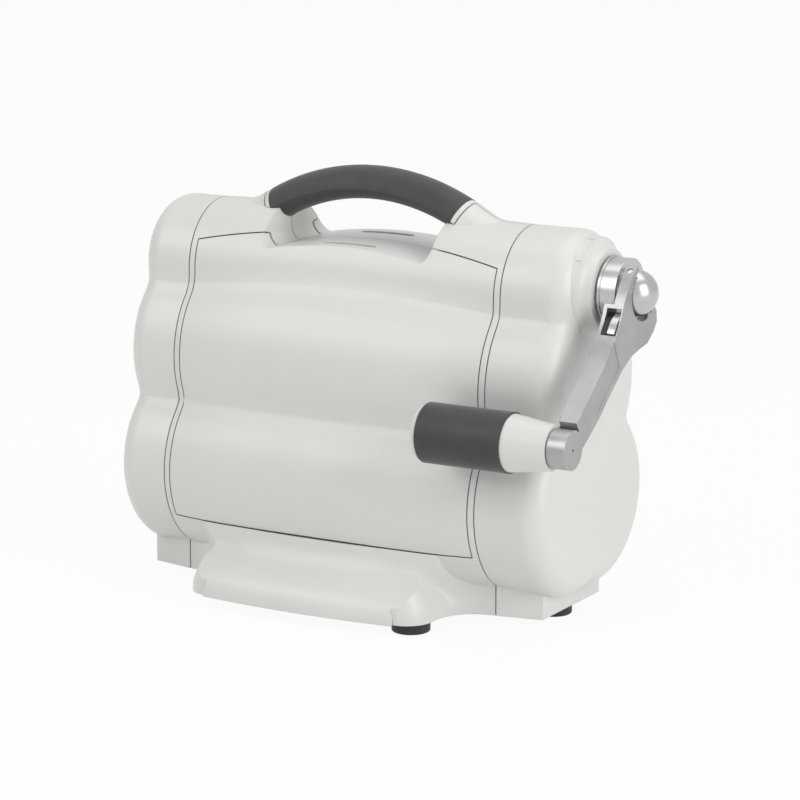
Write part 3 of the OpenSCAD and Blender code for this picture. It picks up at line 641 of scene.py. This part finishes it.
class MACHINE_OT_frames(PieceOperator, bpy.types.Operator):
    """Steel side frames, tie bars and roller covers"""

    bl_idname = "machine.frames"
    bl_label = "Frames"

    def make(self, context):
        for node in ("left_side_frame", "right_side_frame", "tie_bars", "frame_screws"):
            dress(node, "frame_steel")
        for node in ("upper_cover", "lower_cover"):
            dress(node, "inner_white")


class MACHINE_OT_rollers(PieceOperator, bpy.types.Operator):
    """Pressure rollers and their bushes"""

    bl_idname = "machine.rollers"
    bl_label = "Rollers"

    def make(self, context):
        for node in ("upper_roller", "lower_roller"):
            dress(node, "frame_steel")
        dress("roller_bushes", "bush_bronze")


class MACHINE_OT_gears(PieceOperator, bpy.types.Operator):
    """Gear train between the rollers and the crank"""

    bl_idname = "machine.gears"
    bl_label = "Gear train"

    def make(self, context):
        for node in ("inner_gear_plate", "outer_gear_plate", "gear_plate_spacers", "idler_axle",
                     "crank_shaft", "crank_collar"):
            dress(node, "frame_steel")
        for node in ("crank_pinion", "idler_gear", "upper_roller_gear", "lower_roller_gear"):
            dress(node, "gear_steel", 20.0)
        dress("crank_bushes", "bush_bronze")
        dress("crank_seal", "black_rubber")


class MACHINE_OT_crank(PieceOperator, bpy.types.Operator):
    """Crank hub, hinged arm and its latch"""

    bl_idname = "machine.crank"
    bl_label = "Crank"

    def make(self, context):
        dress("crank_hub", "bright_steel")
        dress("arm_pivot_pin", "bright_steel")
        dress("crank_arm", "crank_alloy", 28.0)
        dress("latch_button", "bright_steel")
        dress("latch_pad", "black_rubber")
        self.spring(context.scene.machine_sizes)

    def spring(self, sizes):
        """Coil in place of the spring's stand-in, along the button's travel."""
        low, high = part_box("latch_spring")
        middle = (low + high) / 2
        length = 4.7 * MM
        radius = 1.4 * MM - sizes.spring_wire
        out = Vector((0.0, -math.cos(STORED), math.sin(STORED)))
        bm = bmesh.new()
        ring = bmesh.ops.create_circle(
            bm,
            radius=sizes.spring_wire,
            segments=8,
            matrix=Matrix.Translation((radius, 0, 0)) @ Matrix.Rotation(math.pi / 2, 4, "X"),
        )["verts"]
        rise = length - 2 * sizes.spring_wire
        steps = 16 * sizes.spring_turns
        bmesh.ops.spin(
            bm,
            geom=ring + list(bm.edges),
            cent=(0, 0, 0),
            axis=(0, 0, 1),
            dvec=(0, 0, rise / steps),
            angle=math.tau * sizes.spring_turns,
            steps=steps,
            use_merge=False,
        )
        bmesh.ops.holes_fill(bm, edges=[e for e in bm.edges if e.is_boundary], sides=8)
        bmesh.ops.recalc_face_normals(bm, faces=bm.faces)
        turn = Vector((0, 0, 1)).rotation_difference(out).to_matrix().to_4x4()
        start = middle - out * (rise / 2)
        bmesh.ops.transform(bm, matrix=Matrix.Translation(start) @ turn, verts=bm.verts)
        coil = finish_piece(
            bm, "latch_spring_coil", "crank_lever", "frame_steel", 60.0, ["latch_spring"]
        )
        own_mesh(coil)


class MACHINE_OT_crank_grip(PieceOperator, bpy.types.Operator):
    """Grip of the crank on its spindle"""

    bl_idname = "machine.crank_grip"
    bl_label = "Crank grip"

    def make(self, context):
        dress("grip_spindle", "frame_steel")
        dress("grip_core", "shell_white")
        dress("grip_sleeve", "soft_grip")


class MACHINE_OT_feet(PieceOperator, bpy.types.Operator):
    """Rubber feet and their screws"""

    bl_idname = "machine.feet"
    bl_label = "Feet"

    def make(self, context):
        dress("rubber_feet", "black_rubber")
        dress("base_screws", "frame_steel")


# ---- stage -----------------------------------------------------------------


def camera_ray_mix(tree, lit, seen):
    """Shader that the camera and mirrors see as one thing, and other light as another."""
    path = tree.nodes.new("ShaderNodeLightPath")
    either = tree.nodes.new("ShaderNodeMath")
    either.operation = "MAXIMUM"
    tree.links.new(path.outputs["Is Camera Ray"], either.inputs[0])
    tree.links.new(path.outputs["Is Glossy Ray"], either.inputs[1])
    mix = tree.nodes.new("ShaderNodeMixShader")
    tree.links.new(either.outputs[0], mix.inputs[0])
    tree.links.new(lit, mix.inputs[1])
    tree.links.new(seen, mix.inputs[2])
    return mix


def area_lamp(name, power, size, place, target, colour=(1.0, 1.0, 1.0)):
    data = bpy.data.lights.new(name, "AREA")
    data.energy = power
    data.shape = "RECTANGLE"
    data.size, data.size_y = size
    data.color = colour
    lamp = bpy.data.objects.new(name, data)
    lamp.location = place
    lamp.rotation_euler = (Vector(target) - Vector(place)).to_track_quat("-Z", "Y").to_euler()
    bpy.context.scene.collection.objects.link(lamp)
    return lamp


class MACHINE_OT_stage(PieceOperator, bpy.types.Operator):
    """Floor, lamps, sky and camera"""

    bl_idname = "machine.stage"
    bl_label = "Stage"

    def make(self, context):
        settings = context.scene.machine_stage
        self.floor(settings)
        self.sky(context, settings)
        middle = (0.0, 0.0, 0.14)
        area_lamp("key_lamp", settings.key, (1.6, 1.2), (-1.2, -1.7, 1.5), middle)
        area_lamp("top_lamp", settings.top, (1.6, 1.6), (0.1, 0.2, 1.9), middle)
        area_lamp("side_lamp", settings.side, (1.0, 1.4), (1.9, -0.5, 0.9), middle)
        self.camera(context, settings)
        context.scene.view_settings.view_transform = "Standard"

    def floor(self, settings):
        bm = bmesh.new()
        bmesh.ops.create_grid(bm, x_segments=4, y_segments=4, size=settings.floor)
        mesh = bpy.data.meshes.new("floor")
        bm.to_mesh(mesh)
        bm.free()
        floor = bpy.data.objects.new("floor", mesh)
        bpy.context.scene.collection.objects.link(floor)
        n = Nodes("floor_paper")
        n.shader.inputs["Base Color"].default_value = (0.86, 0.86, 0.86, 1.0)
        n.shader.inputs["Roughness"].default_value = 0.9
        glow = n.add("ShaderNodeEmission")
        glow.inputs["Strength"].default_value = 1.0
        part = n.add("ShaderNodeMixShader")
        part.inputs[0].default_value = 0.94
        n.link(n.shader.outputs[0], part.inputs[1])
        n.link(glow.outputs[0], part.inputs[2])
        mix = camera_ray_mix(n.tree, n.shader.outputs[0], part.outputs[0])
        n.link(mix.outputs[0], n.tree.nodes["Material Output"].inputs["Surface"])
        mesh.materials.append(n.material)

    def sky(self, context, settings):
        world = bpy.data.worlds.new("studio")
        context.scene.world = world
        world.use_nodes = True
        tree = world.node_tree
        lit = tree.nodes["Background"]
        lit.inputs["Color"].default_value = (1.0, 1.0, 1.0, 1.0)
        lit.inputs["Strength"].default_value = settings.sky
        seen = tree.nodes.new("ShaderNodeBackground")
        seen.inputs["Strength"].default_value = 1.0
        mix = camera_ray_mix(tree, lit.outputs[0], seen.outputs[0])
        tree.links.new(mix.outputs[0], tree.nodes["World Output"].inputs["Surface"])

    def camera(self, context, settings):
        data = bpy.data.cameras.new("camera")
        data.lens = settings.lens
        data.sensor_width = 36.0
        data.clip_end = 20.0
        camera = bpy.data.objects.new("camera", data)
        camera.location = (1.0901, -1.8908, 0.6077)
        camera.rotation_euler = (math.radians(77.7), 0.0, math.radians(30.0))
        context.scene.collection.objects.link(camera)
        context.scene.camera = camera


OPERATORS = (
    MACHINE_OT_casing,
    MACHINE_OT_doors,
    MACHINE_OT_handle,
    MACHINE_OT_frames,
    MACHINE_OT_rollers,
    MACHINE_OT_gears,
    MACHINE_OT_crank,
    MACHINE_OT_crank_grip,
    MACHINE_OT_feet,
    MACHINE_OT_stage,
)


class MACHINE_PT_panel(bpy.types.Panel):
    """Lists the machine's pieces and settings"""

    bl_idname = "MACHINE_PT_panel"
    bl_label = "Die cutting machine"
    bl_space_type = "VIEW_3D"
    bl_region_type = "UI"
    bl_category = "Machine"

    def draw(self, context):
        layout = self.layout
        for group in ("machine_finishes", "machine_sizes", "machine_stage"):
            settings = getattr(context.scene, group)
            box = layout.box()
            for key in type(settings).__annotations__:
                box.prop(settings, key)
        for operator in OPERATORS:
            layout.operator(operator.bl_idname)


GROUPS = {
    "machine_finishes": MachineFinishes,
    "machine_sizes": MachineSizes,
    "machine_stage": MachineStage,
}


def register():
    for group, settings in GROUPS.items():
        bpy.utils.register_class(settings)
        setattr(bpy.types.Scene, group, bpy.props.PointerProperty(type=settings))
    for cls in (*OPERATORS, MACHINE_PT_panel):
        bpy.utils.register_class(cls)


def unregister():
    for cls in reversed((*OPERATORS, MACHINE_PT_panel)):
        bpy.utils.unregister_class(cls)
    for group, settings in reversed(GROUPS.items()):
        delattr(bpy.types.Scene, group)
        bpy.utils.unregister_class(settings)


def main():
    register()
    for operator in OPERATORS:
        family, name = operator.bl_idname.split(".")
        if getattr(getattr(bpy.ops, family), name)() != {"FINISHED"}:
            raise RuntimeError(operator.bl_idname + " did not finish")


if __name__ == "__main__":
    main()
